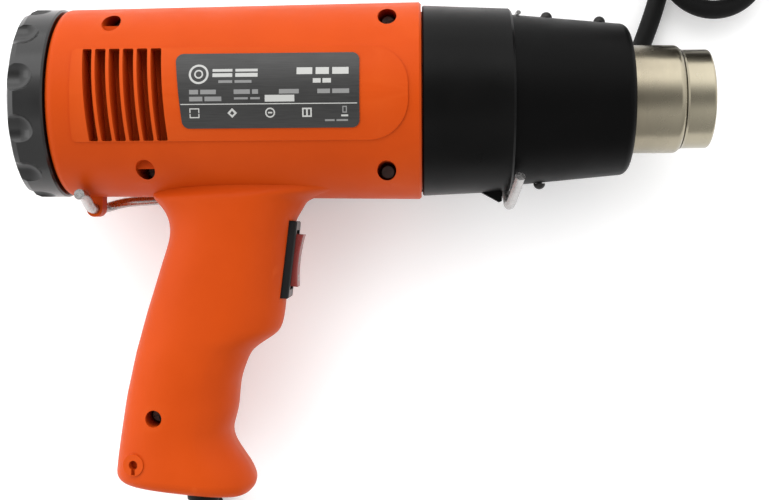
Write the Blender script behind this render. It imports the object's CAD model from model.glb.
import math

import bpy
from mathutils import Matrix, Vector


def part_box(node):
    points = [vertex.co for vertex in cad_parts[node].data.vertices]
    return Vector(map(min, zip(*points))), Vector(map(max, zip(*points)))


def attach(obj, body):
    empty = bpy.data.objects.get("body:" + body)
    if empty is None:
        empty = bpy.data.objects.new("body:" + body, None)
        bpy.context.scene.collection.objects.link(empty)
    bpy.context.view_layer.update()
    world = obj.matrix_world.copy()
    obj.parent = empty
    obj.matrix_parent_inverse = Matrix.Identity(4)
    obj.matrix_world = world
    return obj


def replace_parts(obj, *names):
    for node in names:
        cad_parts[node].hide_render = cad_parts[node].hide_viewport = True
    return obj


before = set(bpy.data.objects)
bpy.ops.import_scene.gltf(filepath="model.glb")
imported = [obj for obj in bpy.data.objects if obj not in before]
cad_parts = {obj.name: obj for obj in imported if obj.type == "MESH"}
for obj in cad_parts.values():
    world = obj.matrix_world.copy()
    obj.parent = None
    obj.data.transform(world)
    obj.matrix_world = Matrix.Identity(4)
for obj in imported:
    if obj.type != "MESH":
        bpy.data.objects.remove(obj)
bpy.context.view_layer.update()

MM = 0.001
BARREL_RADIUS_REAR = 33.4
BARREL_RADIUS_FRONT = 35.0
BARREL_REAR = 12.9
BARREL_FRONT = 139.0

# The gun's own axes: the rear cap's back face is X = 0, and Y and Z are measured from the barrel's
# axis. Everything below is placed in millimetres along them.
cap_low, cap_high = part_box("rear_cap")
GUN_ORIGIN = Vector((cap_low.x, (cap_low.y + cap_high.y) / 2, (cap_low.z + cap_high.z) / 2))


def at(x, y, z):
    """A point given in the gun's axes and millimetres, in the frame's metres."""
    return GUN_ORIGIN + Vector((x, y, z)) * MM


# ---------------------------------------------------------------- pieces


def link(obj):
    bpy.context.scene.collection.objects.link(obj)
    return obj


def mesh_piece(name, vertices, faces, material, smooth=True):
    mesh = bpy.data.meshes.new(name)
    mesh.from_pydata([tuple(v) for v in vertices], [], faces)
    mesh.validate()
    if smooth:
        mesh.polygons.foreach_set("use_smooth", [True] * len(mesh.polygons))
    mesh.materials.append(material)
    return link(bpy.data.objects.new(name, mesh))


def nurbs_curve(name, points, radius, material, resolution=10, sides=8):
    curve = bpy.data.curves.new(name, "CURVE")
    curve.dimensions = "3D"
    spline = curve.splines.new("NURBS")
    spline.points.add(len(points) - 1)
    for slot, point in zip(spline.points, points):
        slot.co = (*point, 1.0)
    spline.order_u = 3
    spline.use_endpoint_u = True
    curve.resolution_u = resolution
    curve.bevel_depth = radius
    curve.bevel_resolution = sides
    curve.use_fill_caps = True
    curve.materials.append(material)
    return link(bpy.data.objects.new(name, curve))


def thicken(piece, thickness, offset):
    solid = piece.modifiers.new("thickness", "SOLIDIFY")
    solid.thickness = thickness * MM
    solid.offset = offset


def round_edges(piece, width):
    bevel = piece.modifiers.new("edges", "BEVEL")
    bevel.width = width * MM
    bevel.segments = 2
    bevel.limit_method = "ANGLE"


def circle_angles(steps):
    """The start and end angle of each step round a circle."""
    return [(2 * math.pi * step / steps, 2 * math.pi * (step + 1) / steps) for step in range(steps)]


def lathe(name, profile, start, heading, material, steps=48):
    """A closed piece turned about a line, from (distance along it, radius) pairs in millimetres."""
    turn = heading.to_track_quat("Z", "X")
    vertices = []
    faces = []
    for along, radius in profile:
        for step in range(steps):
            angle = 2 * math.pi * step / steps
            spot = Vector((radius * math.cos(angle), radius * math.sin(angle), along)) * MM
            vertices.append(start + turn @ spot)
    rows = len(profile)
    for row in range(rows):
        below = ((row + 1) % rows) * steps
        for step in range(steps):
            after = (step + 1) % steps
            faces.append((row * steps + step, row * steps + after, below + after, below + step))
    return mesh_piece(name, vertices, faces, material)


# ---------------------------------------------------------------- materials


def map_range(tree, value, low, high, start, end):
    """Adds a node that turns start to end into low to high."""
    node = tree.nodes.new("ShaderNodeMapRange")
    node.inputs["From Min"].default_value = start
    node.inputs["From Max"].default_value = end
    node.inputs["To Min"].default_value = low
    node.inputs["To Max"].default_value = high
    tree.links.new(value, node.inputs["Value"])
    return node.outputs["Result"]


class Recipe:
    """Builds one node material step by step."""

    def __init__(self, name):
        self.material = bpy.data.materials.new(name)
        self.material.use_nodes = True
        self.nodes = self.material.node_tree.nodes
        self.links = self.material.node_tree.links
        self.shader = self.nodes["Principled BSDF"]
        self.place = self.nodes.new("ShaderNodeTexCoord").outputs["Object"]

    def noise(self, size, detail=3.0, stretch=None):
        """A noise whose features measure about size metres."""
        texture = self.nodes.new("ShaderNodeTexNoise")
        texture.inputs["Scale"].default_value = 1 / size
        texture.inputs["Detail"].default_value = detail
        texture.inputs["Roughness"].default_value = 0.55
        source = self.place
        if stretch is not None:
            mapping = self.nodes.new("ShaderNodeMapping")
            mapping.inputs["Scale"].default_value = stretch
            self.links.new(source, mapping.inputs["Vector"])
            source = mapping.outputs["Vector"]
        self.links.new(source, texture.inputs["Vector"])
        return texture.outputs["Fac"]

    def ranged(self, value, low, high, start=0.3, end=0.7):
        return map_range(self.material.node_tree, value, low, high, start, end)

    def mixed(self, factor, first, second):
        """Mixes two colours, each a socket or a plain colour, by a factor's socket."""
        node = self.nodes.new("ShaderNodeMix")
        node.data_type = "RGBA"
        self.links.new(factor, node.inputs[0])
        for socket, value in ((node.inputs[6], first), (node.inputs[7], second)):
            if isinstance(value, bpy.types.NodeSocket):
                self.links.new(value, socket)
            else:
                socket.default_value = (*value, 1.0)
        return node.outputs[2]

    def bump(self, layers):
        """Stacks bumps, each (height, depth in metres)."""
        normal = None
        for height, depth in layers:
            node = self.nodes.new("ShaderNodeBump")
            node.inputs["Distance"].default_value = depth
            node.inputs["Strength"].default_value = 1.0
            self.links.new(height, node.inputs["Height"])
            if normal is not None:
                self.links.new(normal, node.inputs["Normal"])
            normal = node.outputs["Normal"]
        self.links.new(normal, self.shader.inputs["Normal"])

    def wear(self, colour, worn):
        """Mixes in the worn colour at sharp outer edges."""
        point = self.nodes.new("ShaderNodeNewGeometry").outputs["Pointiness"]
        return self.mixed(self.ranged(point, 0.0, 0.35, 0.52, 0.6), colour, worn)

    def set(self, **values):
        """Sets the shader's inputs, with _ for a space in a name."""
        for name, value in values.items():
            socket = self.shader.inputs[name.replace("_", " ")]
            if isinstance(value, bpy.types.NodeSocket):
                self.links.new(value, socket)
            elif isinstance(value, tuple):
                socket.default_value = (*value, 1.0)
            else:
                socket.default_value = value


def moulded(name, colour, shade, roughness, grain=0.00045, depth=0.00001, worn=None, specular=0.5):
    """Moulded plastic: fine grain, slight mottling and roughness that wanders."""
    recipe = Recipe(name)
    blotch = recipe.noise(0.03, 4.0)
    tint = recipe.mixed(recipe.ranged(blotch, 0.0, 1.0), colour, shade)
    if worn is not None:
        tint = recipe.wear(tint, worn)
    smudge = recipe.noise(0.012, 5.0)
    recipe.set(Base_Color=tint, Roughness=recipe.ranged(smudge, roughness - 0.05, roughness + 0.07))
    recipe.set(Specular_IOR_Level=specular)
    recipe.bump([(recipe.noise(grain, 2.0), depth), (recipe.noise(0.02, 2.0), depth * 4)])
    return recipe.material


def steel(name, colour, shade, roughness, grain=0.0002):
    """Bare or plated metal with fine tool marks."""
    recipe = Recipe(name)
    marks = recipe.noise(grain)
    cloud = recipe.noise(0.014, 4.0)
    tint = recipe.mixed(recipe.ranged(cloud, 0.0, 1.0), colour, shade)
    recipe.set(Base_Color=tint, Metallic=1.0)
    recipe.set(Roughness=recipe.ranged(marks, roughness - 0.06, roughness + 0.1))
    recipe.bump([(marks, 0.000004)])
    return recipe.material


def nozzle_steel():
    """Warm plated steel, turned marks round the tube and a faint heat tint towards the tip."""
    recipe = Recipe("nozzle_steel")
    marks = recipe.noise(0.0005, 3.0, (1.0, 0.03, 0.03))
    cloud = recipe.noise(0.012, 4.0)
    split = recipe.nodes.new("ShaderNodeSeparateXYZ")
    recipe.links.new(recipe.place, split.inputs["Vector"])
    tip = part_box("nozzle")[1].x
    heat = recipe.ranged(split.outputs["X"], 0.0, 0.5, tip - 0.028, tip)
    plain = recipe.mixed(recipe.ranged(cloud, 0.0, 1.0), (0.29, 0.255, 0.188), (0.24, 0.212, 0.156))
    streaky = recipe.mixed(recipe.ranged(marks, 0.0, 0.35), plain, (0.22, 0.195, 0.148))
    tinted = recipe.mixed(heat, streaky, (0.42, 0.39, 0.295))
    recipe.set(Base_Color=tinted, Metallic=1.0)
    recipe.set(Roughness=recipe.ranged(cloud, 0.22, 0.3))
    recipe.bump([(marks, 0.0000015)])
    return recipe.material


def label_film():
    """Dark printed film with a brushed metallic look."""
    recipe = Recipe("label_film")
    brush = recipe.noise(0.0004, 3.0, (0.05, 1.0, 1.0))
    tint = recipe.mixed(recipe.ranged(brush, 0.0, 1.0), (0.026, 0.0256, 0.0252), (0.036, 0.0356, 0.035))
    recipe.set(Base_Color=tint, Metallic=0.1, Specular_IOR_Level=0.3)
    recipe.set(Roughness=recipe.ranged(recipe.noise(0.01), 0.3, 0.42))
    recipe.bump([(brush, 0.000002)])
    return recipe.material


def rubber(name, colour, shade, roughness=0.55):
    """Matt rubber with dust in its finest texture and a slow wave over its surface."""
    recipe = Recipe(name)
    dust = recipe.noise(0.004, 6.0)
    tint = recipe.mixed(recipe.ranged(dust, 0.0, 1.0, 0.4, 0.8), colour, shade)
    recipe.set(Base_Color=tint, Roughness=recipe.ranged(dust, roughness - 0.08, roughness + 0.1))
    recipe.set(Sheen_Weight=0.03, Sheen_Roughness=0.5, Specular_IOR_Level=0.15)
    recipe.bump([(recipe.noise(0.0006, 3.0), 0.00002), (recipe.noise(0.006, 2.0), 0.0001)])
    return recipe.material


def woven():
    """A narrow woven strap."""
    recipe = Recipe("woven_strap")
    weave = recipe.nodes.new("ShaderNodeTexWave")
    weave.inputs["Scale"].default_value = 900.0
    weave.bands_direction = "DIAGONAL"
    recipe.links.new(recipe.place, weave.inputs["Vector"])
    tint = recipe.mixed(weave.outputs["Fac"], (0.012, 0.012, 0.013), (0.035, 0.035, 0.037))
    recipe.set(Base_Color=tint, Roughness=0.85, Sheen_Weight=0.4)
    recipe.bump([(weave.outputs["Fac"], 0.0002)])
    return recipe.material


ORANGE = moulded("orange_housing", (0.49, 0.058, 0.0048), (0.455, 0.052, 0.004), 0.42, 0.0006,
                 worn=(0.54, 0.082, 0.012), specular=0.06)
CAP_BLACK = moulded("cap_black", (0.006, 0.0058, 0.0056), (0.0045, 0.0045, 0.0045), 0.2, 0.0005, 0.000003,
                    (0.015, 0.015, 0.015), 0.4)
COLLAR_BLACK = moulded("collar_black", (0.003, 0.0029, 0.0028), (0.002, 0.002, 0.002), 0.32, 0.0005,
                       0.000006, (0.008, 0.008, 0.008), 0.07)
SLEEVE_BLACK = moulded("sleeve_black", (0.0022, 0.0021, 0.0021), (0.0016, 0.0016, 0.0016), 0.4, 0.0005,
                       0.000008, (0.006, 0.006, 0.006), 0.05)
INNER_BLACK = moulded("inner_black", (0.03, 0.03, 0.03), (0.02, 0.02, 0.02), 0.5)
SWITCH_BLACK = moulded("switch_black", (0.008, 0.008, 0.008), (0.006, 0.006, 0.006), 0.35, specular=0.25)
RED = moulded("rocker_red", (0.24, 0.03, 0.024), (0.2, 0.025, 0.02), 0.28, 0.0006, 0.000004, specular=0.4)
WHITE_PRINT = moulded("white_print", (0.42, 0.42, 0.4), (0.38, 0.38, 0.37), 0.5)
GREY_PRINT = moulded("grey_print", (0.2, 0.2, 0.195), (0.17, 0.17, 0.17), 0.5)
SCREW = steel("screw_steel", (0.26, 0.24, 0.22), (0.18, 0.17, 0.16), 0.38)
DARK_SCREW = steel("dark_screw", (0.035, 0.034, 0.033), (0.02, 0.02, 0.02), 0.4)
BRIGHT = steel("bright_steel", (0.55, 0.54, 0.53), (0.45, 0.445, 0.44), 0.25)
CHROME = steel("chrome_wire", (0.50, 0.49, 0.48), (0.40, 0.39, 0.385), 0.26, grain=0.001)
MOTOR = steel("motor_steel", (0.62, 0.61, 0.6), (0.5, 0.5, 0.49), 0.3)
BRASS = steel("brass_tab", (0.75, 0.58, 0.28), (0.6, 0.45, 0.2), 0.3)
COIL = steel("coil_wire", (0.34, 0.29, 0.26), (0.22, 0.19, 0.18), 0.45)
MICA = moulded("mica_sheet", (0.55, 0.48, 0.33), (0.44, 0.38, 0.26), 0.35, 0.002, 0.00003)
CERAMIC = moulded("former_mica", (0.62, 0.58, 0.48), (0.5, 0.46, 0.38), 0.7, 0.001, 0.00003)
BOARD = moulded("board_green", (0.02, 0.12, 0.04), (0.015, 0.09, 0.03), 0.35)
LEAD = rubber("lead_sleeving", (0.05, 0.05, 0.055), (0.08, 0.08, 0.085))
CORD = rubber("cord_rubber", (0.002, 0.002, 0.002), (0.004, 0.004, 0.004), 0.65)
PLUG = rubber("plug_rubber", (0.005, 0.005, 0.005), (0.009, 0.009, 0.009), 0.45)
STRAP = woven()
NICKEL = nozzle_steel()
FILM = label_film()

NODE_MATERIALS = {
    ORANGE: ["right_shell", "left_shell"],
    CAP_BLACK: ["rear_cap"],
    COLLAR_BLACK: ["front_collar"],
    SLEEVE_BLACK: ["cone_sleeve"],
    INNER_BLACK: ["intake_plate", "fan", "motor_end_cap", "motor_carrier", "fan_shroud", "board_components",
                  "cord_clamp"],
    SWITCH_BLACK: ["switch_body"],
    RED: ["switch_rocker"],
    FILM: ["rating_label"],
    SCREW: ["shell_screws", "cap_pivot_screw", "clamp_screws"],
    DARK_SCREW: ["sleeve_rivets"],
    BRIGHT: ["sleeve_clip", "motor_shaft", "thermal_fuse", "plug_pins"],
    CHROME: ["stand_wire"],
    MOTOR: ["motor_body"],
    BRASS: ["motor_terminals", "switch_terminals"],
    NICKEL: ["nozzle"],
    MICA: ["heater_bulkhead", "mica_tube"],
    CERAMIC: ["element_former"],
    BOARD: ["control_board"],
    LEAD: ["mains_leads", "switch_lead", "heater_leads"],
    CORD: ["cord_inner_end"],
}
for material, names in NODE_MATERIALS.items():
    for name in names:
        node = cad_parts[name]
        node.data.materials.clear()
        node.data.materials.append(material)


# ---------------------------------------------------------------- label and switch marks

PANEL_RISE = 0.5
FILM_THICKNESS = 0.3
INK_THICKNESS = 0.04


def barrel_radius(x):
    share = (x - BARREL_REAR) / (BARREL_FRONT - BARREL_REAR)
    return BARREL_RADIUS_REAR + share * (BARREL_RADIUS_FRONT - BARREL_RADIUS_REAR)


class Print:
    """Flat marks on the label, which follows the barrel, gathered into one mesh."""

    def __init__(self):
        self.vertices = []
        self.faces = []

    def spot(self, x, y):
        radius = barrel_radius(x) + PANEL_RISE + FILM_THICKNESS
        return at(x, y, math.sqrt(radius**2 - y**2))

    def polygon(self, points):
        first = len(self.vertices)
        self.vertices.extend(self.spot(x, y) for x, y in points)
        self.faces.append(tuple(range(first, first + len(points))))

    def bar(self, x0, x1, y0, y1):
        steps = max(1, round((x1 - x0) / 4))
        for step in range(steps):
            left = x0 + (x1 - x0) * step / steps
            right = x0 + (x1 - x0) * (step + 1) / steps
            self.polygon([(left, y0), (right, y0), (right, y1), (left, y1)])

    def hoop(self, x, y, radius, width, steps=20):
        inner = radius - width
        for a, b in circle_angles(steps):
            self.polygon([
                (x + radius * math.cos(a), y + radius * math.sin(a)),
                (x + radius * math.cos(b), y + radius * math.sin(b)),
                (x + inner * math.cos(b), y + inner * math.sin(b)),
                (x + inner * math.cos(a), y + inner * math.sin(a)),
            ])

    def frame(self, x0, x1, y0, y1, width):
        self.bar(x0, x1, y0, y0 + width)
        self.bar(x0, x1, y1 - width, y1)
        self.bar(x0, x0 + width, y0 + width, y1 - width)
        self.bar(x1 - width, x1, y0 + width, y1 - width)

    def words(self, x, y, height, widths, gap):
        """A row of plain dashes, one for each word, where a real label has print."""
        for width in widths:
            self.bar(x, x + width, y, y + height)
            x += width + gap

    def made(self, name, material):
        piece = mesh_piece(name, self.vertices, self.faces, material, smooth=False)
        thicken(piece, INK_THICKNESS, 1.0)
        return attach(piece, "housing")


white = Print()
grey = Print()
white.bar(59.4, 117.9, -3.95, -3.65)
white.hoop(65.4, 6.2, 3.3, 0.7, 28)
white.hoop(65.4, 6.2, 1.5, 0.5, 20)
white.words(70.0, 5.2, 2.7, [6.6, 7.4], 1.0)
grey.words(72.0, 3.2, 0.9, [4.6, 5.6], 0.8)
white.words(97.9, 5.9, 2.3, [5.2, 4.4, 5.4], 1.1)
white.words(103.3, 3.0, 1.5, [2.6, 2.8], 0.6)
for start, widths in ((62.3, [3.0, 5.2]), (77.1, [5.4, 2.0]), (92.1, [6.6]), (104.8, [4.2, 5.6])):
    grey.words(start, -0.5, 1.5, widths, 0.7)
grey.words(62.3, -2.8, 1.5, [4.4, 5.6], 0.7)
grey.words(77.2, -2.3, 0.7, [4.6, 3.2], 0.8)
white.bar(87.4, 97.2, -3.1, -0.9)
white.frame(62.3, 65.6, -8.3, -5.1, 0.35)
white.polygon([(76.5, -8.3), (78.1, -6.7), (76.5, -5.1), (74.9, -6.7)])
white.hoop(89.1, -6.7, 1.65, 0.45)
white.bar(88.4, 89.8, -6.95, -6.45)
white.frame(99.7, 102.9, -8.2, -5.2, 0.5)
white.bar(101.0, 101.6, -7.7, -5.7)
white.bar(112.6, 114.9, -8.1, -7.5)
grey.frame(113.0, 114.5, -6.9, -4.7, 0.35)
grey.words(107.2, -9.6, 0.6, [3.2, 3.8], 0.6)
white.made("label_white_print", WHITE_PRINT)
grey.made("label_grey_print", GREY_PRINT)


SWITCH_SEAT = at(90.7, -56.0, 0)
SWITCH_TURN = Matrix.Rotation(math.radians(-6.9), 3, "Z")
FACE_MIDDLE = 4.6
FACE_SAG = 0.8
FACE_HALF_LENGTH = 9.3
FACE_RADIUS = (FACE_HALF_LENGTH**2 + FACE_SAG**2) / (2 * FACE_SAG)
MARK_LIFT = 0.03
MARK_HALF_WIDTH = 0.35


def rocker_marks():
    """The strokes I, 0 and II on the rocker's hollow face."""
    vertices = []
    faces = []

    def stroke(points):
        first = len(vertices)
        for y, z in points:
            height = FACE_MIDDLE + FACE_RADIUS - math.sqrt(FACE_RADIUS**2 - y**2) + MARK_LIFT
            vertices.append(SWITCH_SEAT + SWITCH_TURN @ (Vector((height, y, z)) * MM))
        faces.append(tuple(range(first, first + len(points))))

    wide, tall, stroke_width = 1.5, 1.9, 0.6
    for y in (6.2, -5.6, -7.0):
        near, far = y - MARK_HALF_WIDTH, y + MARK_HALF_WIDTH
        stroke([(near, -tall), (far, -tall), (far, tall), (near, tall)])
    for a, b in circle_angles(24):
        stroke([
            (wide * math.cos(a), tall * math.sin(a)),
            (wide * math.cos(b), tall * math.sin(b)),
            ((wide - stroke_width) * math.cos(b), (tall - stroke_width) * math.sin(b)),
            ((wide - stroke_width) * math.cos(a), (tall - stroke_width) * math.sin(a)),
        ])
    piece = mesh_piece("rocker_marks", vertices, faces, WHITE_PRINT, smooth=False)
    thicken(piece, 0.08, 0.0)
    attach(piece, "rocker")


rocker_marks()


# ---------------------------------------------------------------- heating coil


def heating_coil():
    """One helix of resistance wire wound round the former."""
    low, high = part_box("heater_coil")
    radius = 12.4
    end_gap = 0.8
    per_turn = 16
    start = (low.x - GUN_ORIGIN.x) / MM + end_gap
    end = (high.x - GUN_ORIGIN.x) / MM - end_gap
    count = 12 * per_turn
    points = []
    for step in range(count + 1):
        angle = 2 * math.pi * step / per_turn
        along = start + (end - start) * step / count
        points.append(at(along, radius * math.cos(angle), radius * math.sin(angle)))
    coil = nurbs_curve("heater_helix", points, 0.65 * MM, COIL, 3, 3)
    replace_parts(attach(coil, "housing"), "heater_coil")


heating_coil()


# ---------------------------------------------------------------- cord

CORD_RADIUS = 3.5
FOOT = (36.0, -134.3)
FOOT_TILT = math.radians(6.4)
EXIT_X = 61.0
RELIEF_LENGTH = 26.0
EXIT_HEADING = Vector((-math.sin(FOOT_TILT), -math.cos(FOOT_TILT), 0))
EXIT = Vector((EXIT_X, FOOT[1] - math.tan(FOOT_TILT) * (EXIT_X - FOOT[0]), 0))

# The height of the cord's middle where it lies on the surface that the gun lies on.
CORD_FLOOR = -31.45
FIRST_RUN = 22.0

# The route from the foot's first run to the hank, as the CAD tube has it, but for three points beside
# the switch, which are moved so that the gun hides the cord there.
CORD_ROUTE = [
    (55.0, -206.0, -11.0),
    (60.5, -225.0, -25.0),
    (77.0, -239.0, CORD_FLOOR),
    (99.0, -238.0, CORD_FLOOR),
    (114.4, -222.3, CORD_FLOOR),
    (114.4, -200.3, CORD_FLOOR),
    (101.0, -184.0, CORD_FLOOR),
    (82.0, -174.5, CORD_FLOOR),
    (64.0, -160.0, CORD_FLOOR),
    (54.5, -141.0, CORD_FLOOR),
    (53.5, -119.0, CORD_FLOOR),
    (56.5, -97.0, CORD_FLOOR),
    (60.4, -75.0, CORD_FLOOR),
    (62.0, -47.0, CORD_FLOOR),
    (79.0, -32.0, CORD_FLOOR),
    (104.0, -28.6, CORD_FLOOR),
    (133.0, -28.4, CORD_FLOOR),
    (158.0, -28.2, CORD_FLOOR),
    (180.0, -22.6, CORD_FLOOR),
    (198.0, -12.0, CORD_FLOOR),
    (210.5, 1.0, CORD_FLOOR),
    (218.4, 12.5, CORD_FLOOR),
    (223.6, 24.5, CORD_FLOOR),
    (228.6, 38.5, CORD_FLOOR),
    (231.5, 50.0, CORD_FLOOR),
    (231.5, 60.0, CORD_FLOOR),
]

# The hank: its middle, the radius of its turns, and the Y of its turns' centres. The first turns at
# the near end reach nearer to the gun than the rest.
HANK_X = 249.3
HANK_TURN = 17.8
HANK_NEAR = 53.9
HANK_NEAR_INNER = 74.3
HANK_FAR = 149.0
LAPS = 4
LAP_RISE = 7.1
TURN_POINTS = 6
RUN_POINTS = 4

# The tie: where it is, how far it draws the runs in, and how far it lifts them.
TIE_Y = 112.0
TIE_PINCH = 5.0
TIE_REACH = 20.0
TIE_LIFT = 1.0


def pinch(y):
    """How far a run is drawn in towards the hank's middle at this height."""
    return TIE_PINCH * math.exp(-((y - TIE_Y) / TIE_REACH) ** 2)


def straight(y_start, y_end, side):
    """Points along one straight run of a lap, drawn in at the tie."""
    points = []
    for step in range(RUN_POINTS):
        y = y_start + (y_end - y_start) * (step + 0.5) / RUN_POINTS
        points.append((HANK_X + side * (HANK_TURN - pinch(y)), y))
    return points


def half_turn(y, first_side, direction):
    """A half turn: direction 1 goes round the far end, -1 round the near end."""
    half_step = math.pi / TURN_POINTS / 2
    reach = HANK_TURN / math.cos(half_step)
    points = []
    for step in range(TURN_POINTS):
        angle = half_step + step * math.pi / TURN_POINTS
        points.append((HANK_X + first_side * reach * math.cos(angle), y + direction * reach * math.sin(angle)))
    return points


def hank_points():
    """Four and a half laps that climb one cord's height each."""
    flat = []
    for lap in range(LAPS):
        low = HANK_NEAR if lap < 2 else HANK_NEAR_INNER
        next_low = HANK_NEAR if lap == 0 else HANK_NEAR_INNER
        flat.extend(straight(low, HANK_FAR, -1))
        flat.extend(half_turn(HANK_FAR, -1, 1))
        flat.extend(straight(HANK_FAR, next_low, 1))
        flat.extend(half_turn(next_low, 1, -1))
    flat.extend(straight(HANK_NEAR_INNER, HANK_FAR, -1))
    flat.extend(half_turn(HANK_FAR, -1, 1))
    per_lap = 2 * (TURN_POINTS + RUN_POINTS)
    points = []
    for step, (x, y) in enumerate(flat):
        points.append((x, y, CORD_FLOOR + LAP_RISE * step / per_lap + pinch(y) * TIE_LIFT / TIE_PINCH))
    return points


plug_low, plug_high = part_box("plug_body")
plug_rear = ((plug_low + plug_high) / 2 - GUN_ORIGIN) / MM
plug_rear.y = (plug_high.y - GUN_ORIGIN.y) / MM
TAIL = [
    (HANK_X + HANK_TURN - 1.0, 143.0, 2.2),
    (HANK_X + HANK_TURN - 4.0, 134.0, 4.6),
    (HANK_X + HANK_TURN - 10.5, 123.0, 7.0),
    (HANK_X + 1.2, 114.0, plug_rear.z),
    (plug_rear.x, 107.0, plug_rear.z),
    (plug_rear.x, plug_rear.y - 4.0, plug_rear.z),
]
first_reaches = (0.2, RELIEF_LENGTH * 0.5, RELIEF_LENGTH, RELIEF_LENGTH + FIRST_RUN)
first_run = [EXIT + EXIT_HEADING * reach for reach in first_reaches]
points = [at(*spot) for spot in first_run + CORD_ROUTE + hank_points() + TAIL]
cord = nurbs_curve("mains_cord", points, CORD_RADIUS * MM, CORD, 8, 6)
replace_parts(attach(cord, "housing"), "cord_tube", "cord_hank")


def strain_relief():
    """A tapered rubber sleeve with a flange inside the grip and four grooves outside it."""
    bore = CORD_RADIUS + 0.05
    root = 5.75
    taper = 0.055
    groove_pitch = 5.0
    profile = [(-7.0, bore), (-7.0, 7.2), (-4.4, 7.2), (-4.4, 4.9), (0.15, 4.9), (0.15, 5.9), (3.0, root)]
    for groove in range(4):
        start = 4.6 + groove_pitch * groove
        radius = root - taper * start
        profile.extend([(start, radius), (start + 0.25, radius - 1.1), (start + 1.5, radius - 1.15),
                        (start + 1.8, radius - 0.1), (start + 3.9, radius - 0.25)])
    profile.extend([(RELIEF_LENGTH - 0.8, 4.35), (RELIEF_LENGTH, 4.0), (RELIEF_LENGTH, bore)])
    piece = lathe("cord_strain_relief", profile, at(*EXIT), EXIT_HEADING, CORD)
    round_edges(piece, 0.18)
    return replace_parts(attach(piece, "housing"), "strain_relief")


def plug():
    """A moulded two-pin contour plug: waisted body, bevelled face and grip ribs at its neck."""
    centre = (plug_low + plug_high) / 2
    half_depth = (plug_high.z - plug_low.z) / 2 / MM
    front = plug_low.y
    length = (plug_high.y - plug_low.y) / MM
    # Distance from the face, half width, and depth as a share of the plug's.
    stations = [
        (0.0, 15.4, 0.86), (0.6, 16.4, 0.95), (2.0, 16.9, 1.0), (7.0, 17.4, 1.0), (12.0, 17.3, 1.0),
        (17.0, 16.2, 1.0), (21.5, 13.9, 0.99), (25.0, 11.2, 0.93), (26.5, 9.6, 0.84),
    ]
    rib = 27.5
    while rib < length - 1.6:
        stations.extend([(rib, 7.6, 0.72), (rib + 0.5, 6.4, 0.64), (rib + 1.2, 6.4, 0.64),
                         (rib + 1.7, 7.4, 0.7)])
        rib += 2.2
    stations.extend([(length - 0.8, 5.9, 0.62), (length, 5.0, 0.55)])
    sides = 40
    squareness = 0.5
    rows = []
    for along, half, depth in stations:
        row = []
        for step in range(sides):
            angle = 2 * math.pi * step / sides
            x = math.copysign(abs(math.cos(angle)) ** squareness, math.cos(angle)) * half
            z = math.copysign(abs(math.sin(angle)) ** squareness, math.sin(angle)) * half_depth * depth
            row.append(Vector((centre.x, front, centre.z)) + Vector((x, along, z)) * MM)
        rows.append(row)
    vertices = [spot for row in rows for spot in row]
    faces = []
    for row in range(len(rows) - 1):
        for step in range(sides):
            after = (step + 1) % sides
            a, b = row * sides, (row + 1) * sides
            faces.append((a + after, a + step, b + step, b + after))
    faces.append(tuple(range(sides)))
    last = (len(rows) - 1) * sides
    faces.append(tuple(range(last + sides - 1, last - 1, -1)))
    piece = mesh_piece("mains_plug", vertices, faces, PLUG)
    round_edges(piece, 0.35)
    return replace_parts(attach(piece, "housing"), "plug_body")


def tie():
    """A hook-and-loop strap drawn tight round the middle of the hank."""
    low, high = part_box("hank_tie")
    half_width = HANK_TURN - TIE_PINCH + CORD_RADIUS + 0.6
    bottom = CORD_FLOOR - CORD_RADIUS + TIE_LIFT + 0.05
    top = CORD_FLOOR + LAP_RISE * (LAPS + 0.2) + CORD_RADIUS + TIE_LIFT + 0.3
    corner = 4.2
    left, right = HANK_X - half_width + corner, HANK_X + half_width - corner
    lower, upper = bottom + corner, top - corner
    outline = []
    corners = ((right, upper, 0.0), (left, upper, 90.0), (left, lower, 180.0), (right, lower, 270.0))
    for cx, cz, start in corners:
        for step in range(7):
            angle = math.radians(start + 15.0 * step)
            outline.append((cx + corner * math.cos(angle), cz + corner * math.sin(angle)))
    width = (high.y - low.y) / MM
    columns = 5
    vertices = []
    faces = []
    for column in range(columns):
        y = (low.y - GUN_ORIGIN.y) / MM + width * column / (columns - 1)
        bulge = 0.25 * math.sin(math.pi * column / (columns - 1))
        for index, (x, z) in enumerate(outline):
            ripple = 0.12 * math.sin(index * 1.7)
            vertices.append(at(x, y + ripple, z + bulge * (1 if z > 0 else 0)))
    count = len(outline)
    for column in range(columns - 1):
        for index in range(count):
            after = (index + 1) % count
            a, b = column * count, (column + 1) * count
            faces.append((a + index, a + after, b + after, b + index))
    piece = mesh_piece("hank_strap", vertices, faces, STRAP)
    thicken(piece, 0.9, -1.0)
    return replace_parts(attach(piece, "housing"), "hank_tie")


relief_piece = strain_relief()
plug_piece = plug()
tie_piece = tie()


# ---------------------------------------------------------------- floor, light and camera


FLOOR_HALF = 4.0
FLOOR_Z = -0.0002
SUBJECT = (0.0, 0.0, 0.03)


def floor():
    """A plain pale floor, a hair below the object."""
    recipe = Recipe("studio_floor")
    tone = recipe.mixed(recipe.ranged(recipe.noise(0.4), 0.0, 1.0), (0.93, 0.93, 0.93), (0.91, 0.91, 0.915))
    recipe.set(Base_Color=tone, Roughness=0.7)
    recipe.set(Specular_IOR_Level=0.2)
    recipe.set(Emission_Color=(1.0, 1.0, 1.0), Emission_Strength=0.22)
    corners = [(FLOOR_HALF * x, FLOOR_HALF * y, FLOOR_Z) for x, y in ((-1, -1), (1, -1), (1, 1), (-1, 1))]
    mesh_piece("studio_floor", corners, [(0, 1, 2, 3)], recipe.material)


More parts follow.
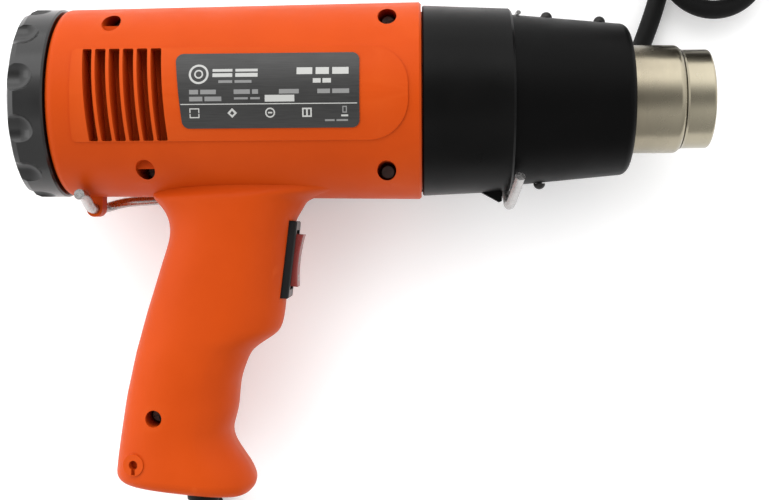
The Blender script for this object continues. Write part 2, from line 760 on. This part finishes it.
def area_light(name, spot, width, height, power):
    data = bpy.data.lights.new(name, "AREA")
    data.shape = "RECTANGLE"
    data.size = width
    data.size_y = height
    data.energy = power
    lamp = link(bpy.data.objects.new(name, data))
    lamp.location = spot
    lamp.rotation_euler = (Vector(SUBJECT) - Vector(spot)).to_track_quat("-Z", "Y").to_euler()


def lights():
    """A bright soft studio, dimmer straight above and on the side of the grip."""
    world = bpy.data.worlds.new("studio")
    world.use_nodes = True
    tree = world.node_tree
    nodes = tree.nodes
    links = tree.links
    sky = nodes["Background"]
    sky.inputs["Color"].default_value = (1, 1, 1, 1)
    place = nodes.new("ShaderNodeTexCoord")
    split = nodes.new("ShaderNodeSeparateXYZ")
    links.new(place.outputs["Generated"], split.inputs["Vector"])
    overhead = map_range(tree, split.outputs["Z"], 1.95, 0.3, 0.84, 0.985)
    lean = nodes.new("ShaderNodeVectorMath")
    lean.operation = "DOT_PRODUCT"
    lean.inputs[1].default_value = (-0.5, 0.87, 0.0)
    links.new(place.outputs["Generated"], lean.inputs[0])
    side = map_range(tree, lean.outputs["Value"], 0.3, 1.35, -1.0, 1.0)
    both = nodes.new("ShaderNodeMath")
    both.operation = "MULTIPLY"
    links.new(overhead, both.inputs[0])
    links.new(side, both.inputs[1])
    links.new(both.outputs["Value"], sky.inputs["Strength"])
    bpy.context.scene.world = world
    area_light("key", (-0.15, 0.8, 0.8), 0.9, 0.5, 1.7)
    area_light("side", (-0.9, 0.1, 0.5), 0.5, 0.5, 1.0)


def camera():
    """Straight down at the gun from about 0.43 m, very slightly off square and rolled."""
    data = bpy.data.cameras.new("camera")
    data.lens = 56.85
    data.sensor_width = 36.0
    data.shift_y = -0.078
    data.clip_start = 0.01
    data.clip_end = 20.0
    eye = link(bpy.data.objects.new("camera", data))
    spot = at(138.5, -41.6, 434.3)
    ahead = (at(126.07, -31.62, 0.0) - spot).normalized()
    right = ahead.cross(Vector((0, 1, 0))).normalized()
    up = right.cross(ahead)
    axes = Matrix((right, up, -ahead)).transposed().to_4x4()
    roll = Matrix.Rotation(math.radians(-0.29), 4, "Z")
    eye.matrix_world = Matrix.Translation(spot) @ axes @ roll
    bpy.context.scene.camera = eye


floor()
lights()
camera()
bpy.context.scene.view_settings.view_transform = "Standard"

bpy.context.view_layer.update()
